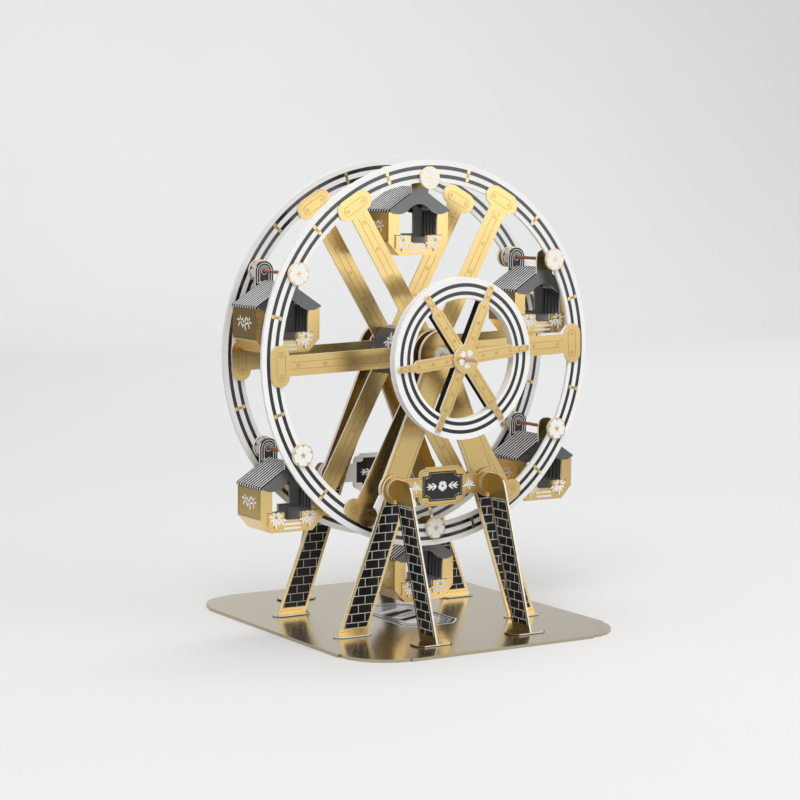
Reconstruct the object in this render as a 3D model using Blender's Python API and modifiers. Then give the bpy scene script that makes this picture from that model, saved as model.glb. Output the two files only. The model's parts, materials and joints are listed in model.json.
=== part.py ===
# Table-top ferris wheel kit of printed card on wooden dowels, modelled piece by piece.
# Metres, +Z up. The origin is the middle of the base's underside and -Y is the front.
# Places along the axle are counted outwards from the wheel's middle plane.

import math

import bmesh
import bpy
from mathutils import Vector

# Gap between pieces that touch, or that turn in one another
CLEARANCE = 0.0003
# How far a cutter runs past what it cuts
OVERRUN = 0.004

# Base plate
BASE_WIDTH = 0.2035
BASE_DEPTH = 0.234
BASE_THICKNESS = 0.002
BASE_CORNER_RADIUS = 0.0313
BASE_CORNER_STEP = 0.0017

# Axle line: the lowest gondola passes this far above the base
GONDOLA_GROUND_ROOM = 0.0122
WHEEL_SETBACK = -0.003

# A-shaped frames that carry the axle
WHEEL_ROOM = 0.0069
FRAME_THICKNESS = 0.0026
FRAME_HEAD_RADIUS = 0.016
FRAME_LEG_WIDTH = 0.0175
KNEE_SPREAD = 0.0358
KNEE_DROP = 0.084
KNEE_BULGE = 0.00065
SHAFT_RADIUS = 0.0018
WASHER_RADIUS = 0.0055
WASHER_THICKNESS = 0.0012

# Sign boards across the knees
SIGN_THICKNESS = 0.0013
SIGN_HALF_WIDTH = 0.0176
SIGN_SHOULDER_WIDTH = 0.0050
SIGN_HALF_HEIGHT = 0.0126
SIGN_NOTCH = 0.0013
SIGN_SHOULDER_RADIUS = 0.0035
SIGN_ARM_HALF_HEIGHT = 0.0062
KNEE_DISC_RADIUS = 0.0065
KNEE_DISC_THICKNESS = 0.0010

# Card legs. The frame legs stand in the frame's plane, the buttresses square to it.
LEG_THICKNESS = 0.0012
LEG_FOOT_MARGIN = 0.0253
LEG_FOOT_WIDTH = 0.0213
LEG_TOP_INWARDS = 0.0136
LEG_TOP_OUTWARDS = 0.0045
LEG_SHOULDER_OUTWARDS = 0.014
LEG_SHOULDER_DROP = 0.0105
LEG_NECK_OUTWARDS = 0.0112
LEG_NECK_DROP = 0.0145
LEG_TOP_RISE = 0.0045
LEG_TOP_RADIUS = 0.0035
BUTTRESS_FOOT_MARGIN = 0.0225
BUTTRESS_FOOT_WIDTH = 0.0190
BUTTRESS_SHOULDER_STEP = 0.0007
BUTTRESS_SHOULDER_DROP = 0.0075
BUTTRESS_TOP_WIDTH = 0.0152
BUTTRESS_TOP_RISE = 0.0067
BUTTRESS_TOP_RADIUS = 0.0105
PAD_THICKNESS = 0.0007
PAD_HALF_LENGTH = 0.0135
PAD_HALF_DEPTH = 0.0055
PAD_CORNER = 0.0040
BUTTRESS_PAD_DEPTH = 0.0145

# Wheel
WHEEL_TURN = 1.9
RIM_RADIUS = 0.125
RIM_WIDTH = 0.0142
RIM_INNER_FACE = 0.0243
RIM_THICKNESS = 0.002
PIVOT_WALL = 0.0013
SPOKE_COUNT = 6
SPOKE_WIDTH = 0.013
SPOKE_THICKNESS = 0.0012
SPOKE_HEAD_INSET = 0.0124
SPOKE_HEAD_HALF_LENGTH = 0.013
SPOKE_HEAD_HALF_WIDTH = 0.0066
DRUM_APOTHEM = 0.0152
HUB_DISC_RADIUS = 0.0160
HUB_DISC_THICKNESS = 0.0015

# Drive wheel at the front end of the shaft
DRIVE_TURN = 6.4
DRIVE_RADIUS = 0.0516
DRIVE_WIDTH = 0.01315
DRIVE_FACE = 0.0638
DRIVE_THICKNESS = 0.006
DRIVE_CHEEK = 0.002
DRIVE_GROOVE_DEPTH = 0.0025
STAR_THICKNESS = 0.0012
STAR_ARM_WIDTH = 0.008
STAR_ARM_GAP = 0.00245
STAR_ARM_STEP = 0.0024
STAR_TONGUE_WIDTH = 0.0042
STAR_TONGUE_INSET = 0.0014
BACK_STAR_ARM_WIDTH = 0.0045
BACK_STAR_LAP = 0.00755
DRIVE_DISC_RADIUS = 0.0092
DRIVE_DISC_THICKNESS = 0.0017

# Main shaft
SHAFT_NOSE = 0.0151
SHAFT_TAIL = 0.0034
SHAFT_POINT = 0.0030
SHAFT_TIP_RADIUS = 0.0006
STOP_DISC_RADIUS = 0.0055
STOP_DISC_THICKNESS = 0.0012

# Gondolas: heights are measured from the pivot they hang on
DOWEL_RADIUS = 0.0011
ROSETTE_RADIUS = 0.0072
ROSETTE_THICKNESS = 0.0020
CARD = 0.0015
CABIN_HALF_WIDTH = 0.02275
CABIN_HALF_DEPTH = 0.0152
CABIN_BOTTOM = -0.050
CABIN_CHAMFER_WIDTH = 0.0080
CABIN_CHAMFER_HEIGHT = 0.0085
DOOR_JAMB = 0.00825
DOOR_SILL_RISE = 0.0127
RAIL_HALF_WIDTH = 0.0063
RAIL_RISE = 0.0079
SEAT_RISE = 0.0025
BENCH_DEPTH = 0.00875
ROOF_RIDGE = -0.0056
ROOF_FALL = 0.0149
ROOF_OVERHANG = 0.00025
ROOF_THICKNESS = 0.0012
EAR_THICKNESS = 0.0013
EAR_RADIUS = 0.0064
EAR_SETBACK = 0.00015
EAR_TIP_DROP = 0.0002
LOBE_DEPTH = 0.0028
LOBE_INNER = 0.0086
ARCH_RISE = 0.0039

# Facets of round outlines
RIM_STEPS = 72
RING_STEPS = 48
DISC_STEPS = 36
AXLE_STEPS = 16
HOLE_STEPS = 12
ARC_STEPS = 6

# The turn that stands a flat piece up, facing the front
FACING_FRONT = (math.pi / 2, 0, 0)

COLOURS = {
    "gold_card": ((0.72, 0.50, 0.20), 0.34, 0.65),
    "base_foil": ((0.42, 0.35, 0.25), 0.28, 0.90),
    "white_card": ((0.88, 0.88, 0.86), 0.55, 0.0),
    "black_card": ((0.030, 0.030, 0.034), 0.45, 0.0),
    "slate_card": ((0.085, 0.085, 0.10), 0.45, 0.0),
    "brick_card": ((0.045, 0.042, 0.040), 0.40, 0.0),
    "wood": ((0.62, 0.42, 0.27), 0.60, 0.0),
    "dowel_wood": ((0.42, 0.17, 0.10), 0.55, 0.0),
}


def clear_scene():
    for thing in list(bpy.data.objects):
        bpy.data.objects.remove(thing, do_unlink=True)


def make_collection(name, hidden=False):
    made = bpy.data.collections.new(name)
    made.hide_render = hidden
    bpy.context.scene.collection.children.link(made)
    return made


def make_materials():
    made = {}
    for name, (colour, roughness, metallic) in COLOURS.items():
        material = bpy.data.materials.new(name)
        material.use_nodes = True
        shader = material.node_tree.nodes["Principled BSDF"]
        shader.inputs["Base Color"].default_value = (*colour, 1.0)
        shader.inputs["Roughness"].default_value = roughness
        shader.inputs["Metallic"].default_value = metallic
        made[name] = material
    return made


clear_scene()
PARTS = make_collection("ferris_wheel_kit")
CUTTERS = make_collection("cutters", hidden=True)
MATERIALS = make_materials()


# Outlines

def arc(centre, radius, start, end, steps=ARC_STEPS):
    points = []
    for step in range(steps + 1):
        angle = math.radians(start + (end - start) * step / steps)
        points.append((centre[0] + radius * math.cos(angle), centre[1] + radius * math.sin(angle)))
    return points


def circle(centre, radius, steps):
    return arc(centre, radius, 0, 360, steps)[:-1]


def bow(start, end, rise, steps=ARC_STEPS):
    """Points of a round arc from start to end, bulging to the right of the way by rise."""
    chord = Vector(end) - Vector(start)
    radius = (chord.length_squared / 4 + rise * rise) / (2 * abs(rise))
    side = math.copysign(1, rise)
    across = Vector((chord.y, -chord.x)).normalized() * side
    centre = (Vector(start) + Vector(end)) / 2 + across * (abs(rise) - radius)
    first = math.degrees(math.atan2(start[1] - centre.y, start[0] - centre.x))
    half = math.degrees(math.asin(min(1, chord.length / 2 / radius)))
    return arc(centre, radius, first, first + side * 2 * half, steps)


def rounded(corners):
    """An outline through (x, y, radius) corners, each rounded by its radius."""
    points = []
    for index, (x, y, radius) in enumerate(corners):
        here = Vector((x, y))
        before = (Vector(corners[index - 1][:2]) - here).normalized()
        after = (Vector(corners[(index + 1) % len(corners)][:2]) - here).normalized()
        if radius == 0:
            points.append((x, y))
            continue
        half = before.angle(after) / 2
        centre = here + (before + after).normalized() * radius / math.sin(half)
        first = here + before * radius / math.tan(half) - centre
        last = here + after * radius / math.tan(half) - centre
        start = math.degrees(math.atan2(first.y, first.x))
        turn = math.degrees(math.atan2(last.y, last.x)) - start
        turn = (turn + 180) % 360 - 180
        points += arc(centre, radius, start, start + turn)
    return points


def mirrored(points):
    return [(-x, y) for x, y in reversed(points)]


def rotated(points, degrees):
    turn = math.radians(degrees)
    return [
        (x * math.cos(turn) - y * math.sin(turn), x * math.sin(turn) + y * math.cos(turn))
        for x, y in points
    ]


# Meshes

def clean(mesh):
    shape = bmesh.new()
    shape.from_mesh(mesh)
    bmesh.ops.remove_doubles(shape, verts=shape.verts, dist=CLEARANCE / 100)
    bmesh.ops.recalc_face_normals(shape, faces=shape.faces)
    shape.to_mesh(mesh)
    shape.free()
    return mesh


def evaluated_mesh(thing):
    bpy.context.view_layer.update()
    graph = bpy.context.evaluated_depsgraph_get()
    return bpy.data.meshes.new_from_object(thing.evaluated_get(graph))


def flat_mesh(name, outlines, thickness):
    """A flat piece from its outline and the outlines of its holes, in its own XY plane."""
    curve = bpy.data.curves.new(name, "CURVE")
    curve.dimensions = "2D"
    curve.fill_mode = "BOTH"
    curve.extrude = thickness / 2
    for outline in outlines:
        spline = curve.splines.new("POLY")
        spline.points.add(len(outline) - 1)
        for point, (x, y) in zip(spline.points, outline):
            point.co = (x, y, 0, 1)
        spline.use_cyclic_u = True
    guide = bpy.data.objects.new(name, curve)
    PARTS.objects.link(guide)
    mesh = clean(evaluated_mesh(guide))
    bpy.data.objects.remove(guide, do_unlink=True)
    bpy.data.curves.remove(curve)
    mesh.name = name
    mesh.shade_smooth()
    mesh.set_sharp_from_angle(angle=math.radians(30))
    return mesh


def turned_mesh(name, profile, steps, closed=False):
    """A turned piece about its own Z axis from (radius, height) points, top to bottom."""
    mesh = bpy.data.meshes.new(name)
    points = [(radius, 0, height) for radius, height in profile]
    edges = [(index, index + 1) for index in range(len(points) - 1)]
    if closed:
        edges.append((len(points) - 1, 0))
    mesh.from_pydata(points, edges, [])
    guide = bpy.data.objects.new(name, mesh)
    PARTS.objects.link(guide)
    screw = guide.modifiers.new("turn", "SCREW")
    screw.steps = steps
    screw.render_steps = steps
    screw.use_merge_vertices = True
    screw.merge_threshold = CLEARANCE / 30
    made = clean(evaluated_mesh(guide))
    bpy.data.objects.remove(guide, do_unlink=True)
    bpy.data.meshes.remove(mesh)
    made.name = name
    made.shade_smooth()
    made.set_sharp_from_angle(angle=math.radians(30))
    return made


def joined_mesh(name, first, others, operation):
    """The first mesh with the others added to it or cut from it. Each is (mesh, place, turn)."""
    body = bpy.data.objects.new(name, first)
    PARTS.objects.link(body)
    for index, (mesh, place, turn) in enumerate(others):
        cutter = bpy.data.objects.new(f"{name}_cutter_{index}", mesh)
        cutter.location = place
        cutter.rotation_euler = turn
        cutter.hide_render = True
        cutter.display_type = "WIRE"
        CUTTERS.objects.link(cutter)
        boolean = body.modifiers.new("join", "BOOLEAN")
        boolean.operation = operation
        boolean.solver = "EXACT"
        boolean.object = cutter
    made = clean(evaluated_mesh(body))
    bpy.data.objects.remove(body, do_unlink=True)
    made.name = name
    made.shade_smooth()
    made.set_sharp_from_angle(angle=math.radians(30))
    return made


def place(name, mesh, colour, location=(0, 0, 0), turn=(0, 0, 0), parent=None):
    piece = bpy.data.objects.new(name, mesh)
    PARTS.objects.link(piece)
    piece.location = location
    piece.rotation_euler = turn
    piece.parent = parent
    if not mesh.materials:
        mesh.materials.append(MATERIALS[colour])
    return piece


def empty(name, location, turn=(0, 0, 0), parent=None):
    axis = bpy.data.objects.new(name, None)
    PARTS.objects.link(axis)
    axis.location = location
    axis.rotation_euler = turn
    axis.parent = parent
    return axis


# Round the wheel
SHAFT_HOLE = SHAFT_RADIUS + CLEARANCE
DOWEL_HOLE = DOWEL_RADIUS + CLEARANCE
RIM_INNER_RADIUS = RIM_RADIUS - RIM_WIDTH
PIVOT_RADIUS = RIM_INNER_RADIUS + PIVOT_WALL + DOWEL_HOLE
SPOKE_HEAD_RADIUS = RIM_RADIUS - SPOKE_HEAD_INSET
DRIVE_INNER_RADIUS = DRIVE_RADIUS - DRIVE_WIDTH
STAR_ARM_REACH = DRIVE_INNER_RADIUS - STAR_ARM_GAP

# Heights over the ground
AXLE_HEIGHT = BASE_THICKNESS + GONDOLA_GROUND_ROOM - CABIN_BOTTOM + PIVOT_RADIUS
KNEE_HEIGHT = AXLE_HEIGHT - KNEE_DROP
BASE_TOP = BASE_THICKNESS + CLEARANCE

# Fits along the axle, outwards from the wheel's middle plane
RIM_OUTER_FACE = RIM_INNER_FACE + RIM_THICKNESS
ROSETTE_OUTER_FACE = RIM_OUTER_FACE + CLEARANCE + ROSETTE_THICKNESS
FRAME_INNER_FACE = ROSETTE_OUTER_FACE + WHEEL_ROOM
FRAME_OUTER_FACE = FRAME_INNER_FACE + FRAME_THICKNESS
WASHER_INNER_FACE = FRAME_OUTER_FACE + CLEARANCE
WASHER_OUTER_FACE = WASHER_INNER_FACE + WASHER_THICKNESS
LEG_INNER_FACE = FRAME_OUTER_FACE + CLEARANCE
LEG_MIDDLE = LEG_INNER_FACE + LEG_THICKNESS / 2
SIGN_INNER_FACE = LEG_INNER_FACE + LEG_THICKNESS + CLEARANCE
KNEE_DISC_INNER_FACE = SIGN_INNER_FACE + SIGN_THICKNESS + CLEARANCE
BUTTRESS_INNER_FACE = KNEE_DISC_INNER_FACE + KNEE_DISC_THICKNESS + CLEARANCE
FRONT_SPOKE_MIDDLE = RIM_OUTER_FACE + CLEARANCE + SPOKE_THICKNESS / 2
BACK_SPOKE_MIDDLE = RIM_INNER_FACE - CLEARANCE - SPOKE_THICKNESS / 2
SIDES = {"front": -1, "back": 1}
HANDS = {"left": -1, "right": 1}


def along_axle(distance, side):
    """A place in the world, that far from the wheel's middle plane on one side."""
    return (0, WHEEL_SETBACK + side * distance, AXLE_HEIGHT)


# Base

def base_outline():
    half_width = BASE_WIDTH / 2
    half_depth = BASE_DEPTH / 2
    inset = BASE_CORNER_RADIUS + BASE_CORNER_STEP
    quarter = [(half_width, half_depth - inset)]
    quarter += arc((half_width - inset, half_depth - inset), BASE_CORNER_RADIUS, 0, 90)
    quarter += [(half_width - inset, half_depth)]
    upper = quarter + mirrored(quarter)
    return upper + [(-x, -y) for x, y in upper]


def make_base():
    mesh = flat_mesh("base_plate", [base_outline()], BASE_THICKNESS)
    place("base_plate", mesh, "base_foil", (0, 0, BASE_THICKNESS / 2))


# Frames, sign boards and washers

def knee_radius():
    return FRAME_LEG_WIDTH / 2 + KNEE_BULGE


def frame_outline():
    """The frame about the axle: a round head and two legs that end in round knees."""
    knee = Vector((KNEE_SPREAD, -KNEE_DROP))
    down = math.degrees(math.atan2(knee.y, knee.x))
    half = FRAME_LEG_WIDTH / 2
    head_turn = math.degrees(math.asin(half / FRAME_HEAD_RADIUS))
    knee_turn = math.degrees(math.asin(half / knee_radius()))
    crotch = half / math.sin(math.radians(down + 90))
    head = arc((0, 0), FRAME_HEAD_RADIUS, down + head_turn, 180 - down - head_turn, 4 * ARC_STEPS)
    knee_end = arc(knee, knee_radius(), down - 180 + knee_turn, down + 180 - knee_turn, 3 * ARC_STEPS)
    return head + mirrored(knee_end) + [(0, -crotch)] + knee_end


def sign_outline():
    """The board between the knees: stepped corners, and arms with round ends."""
    shoulder = SIGN_HALF_HEIGHT - SIGN_NOTCH
    top_half_width = SIGN_HALF_WIDTH - SIGN_SHOULDER_WIDTH
    arm_end = math.sqrt(knee_radius()**2 - SIGN_ARM_HALF_HEIGHT**2)
    arm_turn = math.degrees(math.asin(SIGN_ARM_HALF_HEIGHT / knee_radius()))
    upper = rounded([
        (KNEE_SPREAD - arm_end, SIGN_ARM_HALF_HEIGHT, 0),
        (SIGN_HALF_WIDTH, SIGN_ARM_HALF_HEIGHT, 0),
        (SIGN_HALF_WIDTH, shoulder, SIGN_SHOULDER_RADIUS),
        (top_half_width, shoulder, 0),
        (top_half_width, SIGN_HALF_HEIGHT, 0),
    ])
    end = arc((KNEE_SPREAD, 0), knee_radius(), arm_turn - 180, 180 - arm_turn, 3 * ARC_STEPS)
    lower = [(x, -y) for x, y in reversed(upper)]
    right = lower + end[1:-1] + upper
    return right + mirrored(right)


def make_frames():
    hole = circle((0, 0), SHAFT_HOLE, HOLE_STEPS)
    frame = flat_mesh("frame", [frame_outline(), hole], FRAME_THICKNESS)
    sign = flat_mesh("sign_board", [sign_outline()], SIGN_THICKNESS)
    disc = flat_mesh("knee_disc", [circle((0, 0), KNEE_DISC_RADIUS, 4 * ARC_STEPS)], KNEE_DISC_THICKNESS)
    washer_ring = circle((0, 0), WASHER_RADIUS, 4 * ARC_STEPS)
    washer = flat_mesh("washer", [washer_ring, hole], WASHER_THICKNESS)
    for side_name, side in SIDES.items():
        middle = FRAME_INNER_FACE + FRAME_THICKNESS / 2
        place(f"{side_name}_frame", frame, "gold_card", along_axle(middle, side), FACING_FRONT)
        middle = WASHER_INNER_FACE + WASHER_THICKNESS / 2
        place(f"{side_name}_bearing_washer", washer, "white_card", along_axle(middle, side), FACING_FRONT)
        x, y, z = along_axle(SIGN_INNER_FACE + SIGN_THICKNESS / 2, side)
        place(f"{side_name}_sign_board", sign, "gold_card", (x, y, KNEE_HEIGHT), FACING_FRONT)
        y = along_axle(KNEE_DISC_INNER_FACE + KNEE_DISC_THICKNESS / 2, side)[1]
        for hand_name, hand in HANDS.items():
            spot = (hand * KNEE_SPREAD, y, KNEE_HEIGHT)
            place(f"{side_name}_{hand_name}_knee_disc", disc, "gold_card", spot, FACING_FRONT)


# Legs

def pad_mesh(name, half_length, low, high):
    """A flat foot pad with cut corners, in the plane of the base."""
    outline = [
        (half_length - PAD_CORNER, low),
        (half_length, low + PAD_CORNER),
        (half_length, high - PAD_CORNER),
        (half_length - PAD_CORNER, high),
    ]
    return flat_mesh(name, [outline + mirrored(outline)], PAD_THICKNESS)


def leg_outline():
    """A frame leg seen from the front, X outwards and Y up from the base."""
    knee = KNEE_HEIGHT - BASE_TOP
    top = knee + LEG_TOP_RISE
    foot = BASE_WIDTH / 2 - LEG_FOOT_MARGIN
    return rounded([
        (foot - LEG_FOOT_WIDTH, 0, 0),
        (foot, 0, 0),
        (KNEE_SPREAD + LEG_NECK_OUTWARDS, knee - LEG_NECK_DROP, 0),
        (KNEE_SPREAD + LEG_SHOULDER_OUTWARDS, knee - LEG_SHOULDER_DROP, 0),
        (KNEE_SPREAD + LEG_TOP_OUTWARDS, top, LEG_TOP_RADIUS),
        (KNEE_SPREAD - LEG_TOP_INWARDS, top, LEG_TOP_RADIUS),
    ])


def buttress_foot():
    """How far from the wheel the buttresses' feet reach, on the base's nearer side."""
    return BASE_DEPTH / 2 - abs(WHEEL_SETBACK) - BUTTRESS_FOOT_MARGIN


def buttress_outline():
    """A buttress seen from the side, X outwards from the wheel and Y up from the base."""
    top = KNEE_HEIGHT + BUTTRESS_TOP_RISE - BASE_TOP
    shoulder = KNEE_HEIGHT - BUTTRESS_SHOULDER_DROP - BASE_TOP
    return rounded([
        (buttress_foot() - BUTTRESS_FOOT_WIDTH, 0, 0),
        (buttress_foot(), 0, 0),
        (BUTTRESS_INNER_FACE + BUTTRESS_TOP_WIDTH, top, BUTTRESS_TOP_RADIUS),
        (BUTTRESS_INNER_FACE, top, 0),
        (BUTTRESS_INNER_FACE, shoulder, 0),
        (BUTTRESS_INNER_FACE + BUTTRESS_SHOULDER_STEP, shoulder, 0),
    ])


def make_legs():
    raised = PAD_THICKNESS / 2
    centre = (BASE_WIDTH - LEG_FOOT_WIDTH) / 2 - LEG_FOOT_MARGIN
    pad = pad_mesh("leg_pad", PAD_HALF_LENGTH, -PAD_HALF_DEPTH, PAD_HALF_DEPTH)
    leg = flat_mesh("leg_plate", [leg_outline()], LEG_THICKNESS)
    flat = (-math.pi / 2, 0, 0)
    leg = joined_mesh("leg", leg, [(pad, (centre, raised, 0), flat)], "UNION")
    low = buttress_foot() - BUTTRESS_PAD_DEPTH
    pad = pad_mesh("buttress_pad", PAD_HALF_LENGTH, low, buttress_foot() + CLEARANCE)
    buttress = flat_mesh("buttress_plate", [buttress_outline()], LEG_THICKNESS)
    flat = (-math.pi / 2, -math.pi / 2, 0)
    buttress = joined_mesh("buttress", buttress, [(pad, (0, raised, 0), flat)], "UNION")
    for side_name, side in SIDES.items():
        for hand_name, hand in HANDS.items():
            name = f"{side_name}_{hand_name}"
            y = along_axle(LEG_MIDDLE, side)[1]
            turn = FACING_FRONT if hand > 0 else (math.pi / 2, 0, math.pi)
            place(f"{name}_leg", leg, "brick_card", (0, y, BASE_TOP), turn)
            turn = (math.pi / 2, 0, side * math.pi / 2)
            spot = (hand * KNEE_SPREAD, WHEEL_SETBACK, BASE_TOP)
            place(f"{name}_buttress", buttress, "brick_card", spot, turn)


# Wheel

def rim_mesh():
    outlines = [circle((0, 0), RIM_RADIUS, RIM_STEPS), circle((0, 0), RIM_INNER_RADIUS, RIM_STEPS)]
    for pivot in pivots():
        outlines.append(circle(pivot, DOWEL_HOLE, HOLE_STEPS))
    return flat_mesh("rim", outlines, RIM_THICKNESS)


def pivots():
    """Places of the gondola pivots on the wheel, half-way between its spokes."""
    step = 360 / SPOKE_COUNT
    return [rotated([(PIVOT_RADIUS, 0)], (number + 0.5) * step)[0] for number in range(SPOKE_COUNT)]


def spoke_outline():
    """One spoke along X: a wedge at the hub, a strip, and a round-ended head across it."""
    half = SPOKE_WIDTH / 2
    spread = math.radians(180 / SPOKE_COUNT)
    apart = CLEARANCE / 2 / math.sin(spread)
    tip = SHAFT_HOLE + CLEARANCE
    shoulder = half / math.tan(spread) + apart
    tip_half = (tip - apart) * math.tan(spread)
    lobe = SPOKE_HEAD_HALF_LENGTH - SPOKE_HEAD_HALF_WIDTH
    start = math.degrees(math.asin((half - lobe) / SPOKE_HEAD_HALF_WIDTH))
    head = arc((SPOKE_HEAD_RADIUS, lobe), SPOKE_HEAD_HALF_WIDTH, 0, 180 - start, 2 * ARC_STEPS)
    upper = head + [(shoulder, half), (tip, tip_half)]
    return upper + [(x, -y) for x, y in reversed(upper)]


def make_wheel(axis):
    hole = circle((0, 0), SHAFT_HOLE, HOLE_STEPS)
    rim = rim_mesh()
    for side_name, side in SIDES.items():
        y = side * (RIM_INNER_FACE + RIM_THICKNESS / 2)
        place(f"{side_name}_rim", rim, "white_card", (0, y, 0), FACING_FRONT, axis)
    spoke = flat_mesh("spoke", [spoke_outline()], SPOKE_THICKNESS)
    for side_name, y in (("front", -FRONT_SPOKE_MIDDLE), ("back", BACK_SPOKE_MIDDLE)):
        for number in range(SPOKE_COUNT):
            turn = (math.pi / 2, -math.radians(number * 360 / SPOKE_COUNT), 0)
            place(f"{side_name}_spoke_{number + 1}", spoke, "gold_card", (0, y, 0), turn, axis)
    disc = flat_mesh("hub_disc", [circle((0, 0), HUB_DISC_RADIUS, DISC_STEPS), hole], HUB_DISC_THICKNESS)
    outwards = SPOKE_THICKNESS / 2 + CLEARANCE + HUB_DISC_THICKNESS / 2
    y = -(FRONT_SPOKE_MIDDLE + outwards)
    place("front_hub_disc", disc, "gold_card", (0, y, 0), FACING_FRONT, axis)
    y = BACK_SPOKE_MIDDLE + outwards
    place("back_hub_disc", disc, "gold_card", (0, y, 0), FACING_FRONT, axis)
    front = FRONT_SPOKE_MIDDLE - SPOKE_THICKNESS / 2 - CLEARANCE
    back = BACK_SPOKE_MIDDLE - SPOKE_THICKNESS / 2 - CLEARANCE
    corner = DRUM_APOTHEM / math.cos(math.pi / SPOKE_COUNT)
    drum = flat_mesh("hub_drum", [circle((0, 0), corner, SPOKE_COUNT), hole], front + back)
    place("hub_drum", drum, "slate_card", (0, (back - front) / 2, 0), FACING_FRONT, axis)


def make_shaft(axis):
    front = DRIVE_FACE + SHAFT_NOSE
    back = WASHER_OUTER_FACE + CLEARANCE + STOP_DISC_THICKNESS + SHAFT_TAIL
    profile = [
        (0, front),
        (SHAFT_TIP_RADIUS, front),
        (SHAFT_RADIUS, front - SHAFT_POINT),
        (SHAFT_RADIUS, -back),
        (0, -back),
    ]
    shaft = turned_mesh("main_shaft", profile, HOLE_STEPS)
    place("main_shaft", shaft, "wood", (0, 0, 0), FACING_FRONT, axis)
    outlines = [
        circle((0, 0), STOP_DISC_RADIUS, 4 * ARC_STEPS),
        circle((0, 0), SHAFT_HOLE, HOLE_STEPS),
    ]
    stop = flat_mesh("shaft_stop_disc", outlines, STOP_DISC_THICKNESS)
    y = WASHER_OUTER_FACE + CLEARANCE + STOP_DISC_THICKNESS / 2
    place("shaft_stop_disc", stop, "white_card", (0, y, 0), FACING_FRONT, axis)


# Drive wheel

def star_outline(arm_width, arm):
    """Six arms: the outline of one arm's end, from its lower to its upper side, repeated."""
    step = 360 / SPOKE_COUNT
    between = arm_width / 2 / math.sin(math.radians(step / 2))
    points = []
    for number in range(SPOKE_COUNT):
        points += rotated(arm, number * step)
        points += rotated([(between, 0)], (number + 0.5) * step)
    return points


def make_drive_wheel(axis):
    hole = circle((0, 0), SHAFT_HOLE, HOLE_STEPS)
    groove = DRIVE_RADIUS - DRIVE_GROOVE_DEPTH
    half = DRIVE_THICKNESS / 2
    cheek = half - DRIVE_CHEEK
    profile = [
        (DRIVE_INNER_RADIUS, half),
        (DRIVE_RADIUS, half),
        (DRIVE_RADIUS, cheek),
        (groove, cheek),
        (groove, -cheek),
        (DRIVE_RADIUS, -cheek),
        (DRIVE_RADIUS, -half),
        (DRIVE_INNER_RADIUS, -half),
    ]
    ring = turned_mesh("drive_ring", profile, RING_STEPS, closed=True)
    y = half - DRIVE_FACE
    place("drive_ring", ring, "white_card", (0, y, 0), FACING_FRONT, axis)

    tongue = STAR_TONGUE_WIDTH / 2
    tongue_start = STAR_ARM_REACH + STAR_ARM_STEP
    end = arc((DRIVE_RADIUS - STAR_TONGUE_INSET - tongue, 0), tongue, -90, 90)
    arm = [(STAR_ARM_REACH, -STAR_ARM_WIDTH / 2), (tongue_start, -tongue), *end]
    arm += [(tongue_start, tongue), (STAR_ARM_REACH, STAR_ARM_WIDTH / 2)]
    star = flat_mesh("drive_front_star", [star_outline(STAR_ARM_WIDTH, arm), hole], STAR_THICKNESS)
    y = -(DRIVE_FACE + CLEARANCE + STAR_THICKNESS / 2)
    place("drive_front_star", star, "gold_card", (0, y, 0), FACING_FRONT, axis)

    disc_ring = circle((0, 0), DRIVE_DISC_RADIUS, DISC_STEPS)
    disc = flat_mesh("drive_hub_disc", [disc_ring, hole], DRIVE_DISC_THICKNESS)
    y -= STAR_THICKNESS / 2 + CLEARANCE + DRIVE_DISC_THICKNESS / 2
    place("drive_hub_disc", disc, "gold_card", (0, y, 0), FACING_FRONT, axis)

    arm_half = BACK_STAR_ARM_WIDTH / 2
    reach = DRIVE_INNER_RADIUS + BACK_STAR_LAP
    arm = arc((reach - arm_half, 0), arm_half, -90, 90)
    star = flat_mesh("drive_back_star", [star_outline(BACK_STAR_ARM_WIDTH, arm), hole], STAR_THICKNESS)
    y = DRIVE_THICKNESS + CLEARANCE + STAR_THICKNESS / 2 - DRIVE_FACE
    place("drive_back_star", star, "black_card", (0, y, 0), FACING_FRONT, axis)


# Gondolas

ROOF_HALF_WIDTH = CABIN_HALF_WIDTH + ROOF_OVERHANG


def roof_top(x):
    """Height of the roof's upper side at a distance from the ridge."""
    return ROOF_RIDGE - ROOF_FALL * abs(x) / ROOF_HALF_WIDTH


def roof_drop():
    """The roof card's thickness, measured straight down."""
    return ROOF_THICKNESS / math.cos(math.atan(ROOF_FALL / ROOF_HALF_WIDTH))


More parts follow.
